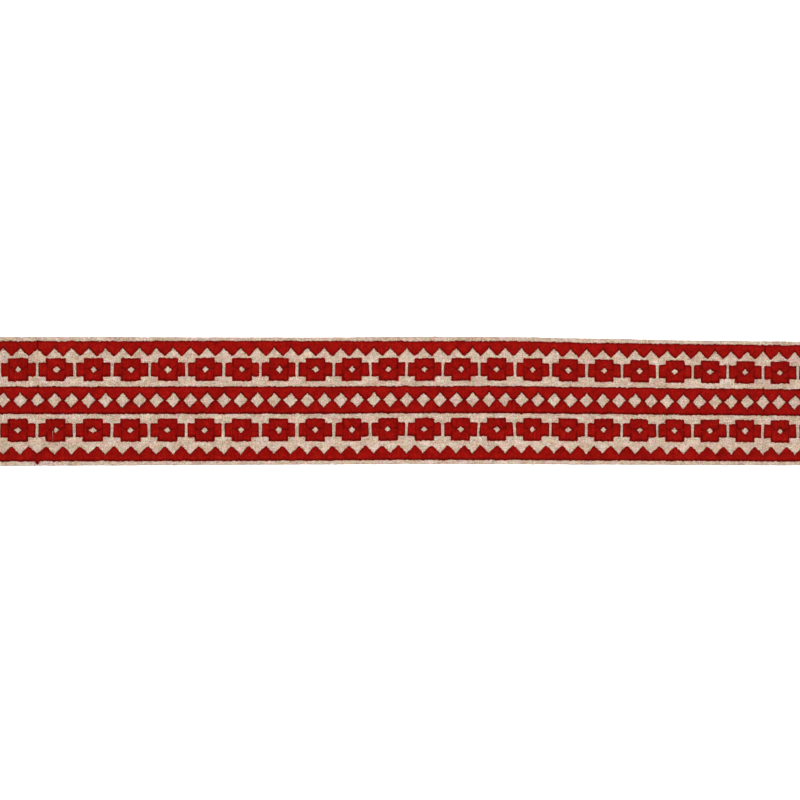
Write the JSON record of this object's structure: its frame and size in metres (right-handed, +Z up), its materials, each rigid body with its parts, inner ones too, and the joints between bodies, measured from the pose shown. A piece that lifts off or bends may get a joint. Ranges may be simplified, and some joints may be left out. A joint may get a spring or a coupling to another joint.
{
  "type": "embroidered tape trim",
  "caption": "Flat length of linen tape trim with turned-under hems, satin-stitched in red with toothed borders, a diamond band and rows of stepped crosses.",
  "frame": {"origin": "on the table under the middle of the tape's box", "axes": "+X along the tape, +Y across it towards the picture's upper edge, +Z up from the table through the embroidered face"},
  "size_m": [0.527, 0.0782, 0.004],
  "materials": {
    "linen": "matt heathered oatmeal linen, plain weave",
    "red_thread": "red embroidery thread in satin stitch, soft sheen"
  },
  "bodies": {
    "root": {"tape": "linen", "border_far": "red_thread", "border_near": "red_thread", "diamond_band": "red_thread", "cross_far_01": "red_thread", "cross_far_02": "red_thread", "cross_far_03": "red_thread", "cross_far_04": "red_thread", "cross_far_05": "red_thread", "cross_far_06": "red_thread", "cross_far_07": "red_thread", "cross_far_08": "red_thread", "cross_far_09": "red_thread", "cross_far_10": "red_thread", "cross_far_11": "red_thread", "cross_far_12": "red_thread", "cross_far_13": "red_thread", "cross_far_14": "red_thread", "cross_far_15": "red_thread", "cross_far_16": "red_thread", "cross_far_17": "red_thread", "cross_far_18": "red_thread", "cross_far_19": "red_thread", "cross_far_20": "red_thread", "cross_far_21": "red_thread", "cross_far_22": "red_thread", "cross_far_23": "red_thread", "cross_far_24": "red_thread", "cross_near_01": "red_thread", "cross_near_02": "red_thread", "cross_near_03": "red_thread", "cross_near_04": "red_thread", "cross_near_05": "red_thread", "cross_near_06": "red_thread", "cross_near_07": "red_thread", "cross_near_08": "red_thread", "cross_near_09": "red_thread", "cross_near_10": "red_thread", "cross_near_11": "red_thread", "cross_near_12": "red_thread", "cross_near_13": "red_thread", "cross_near_14": "red_thread", "cross_near_15": "red_thread", "cross_near_16": "red_thread", "cross_near_17": "red_thread", "cross_near_18": "red_thread", "cross_near_19": "red_thread", "cross_near_20": "red_thread", "cross_near_21": "red_thread", "cross_near_22": "red_thread", "cross_near_23": "red_thread", "cross_near_24": "red_thread"}
  },
  "joints": []
}
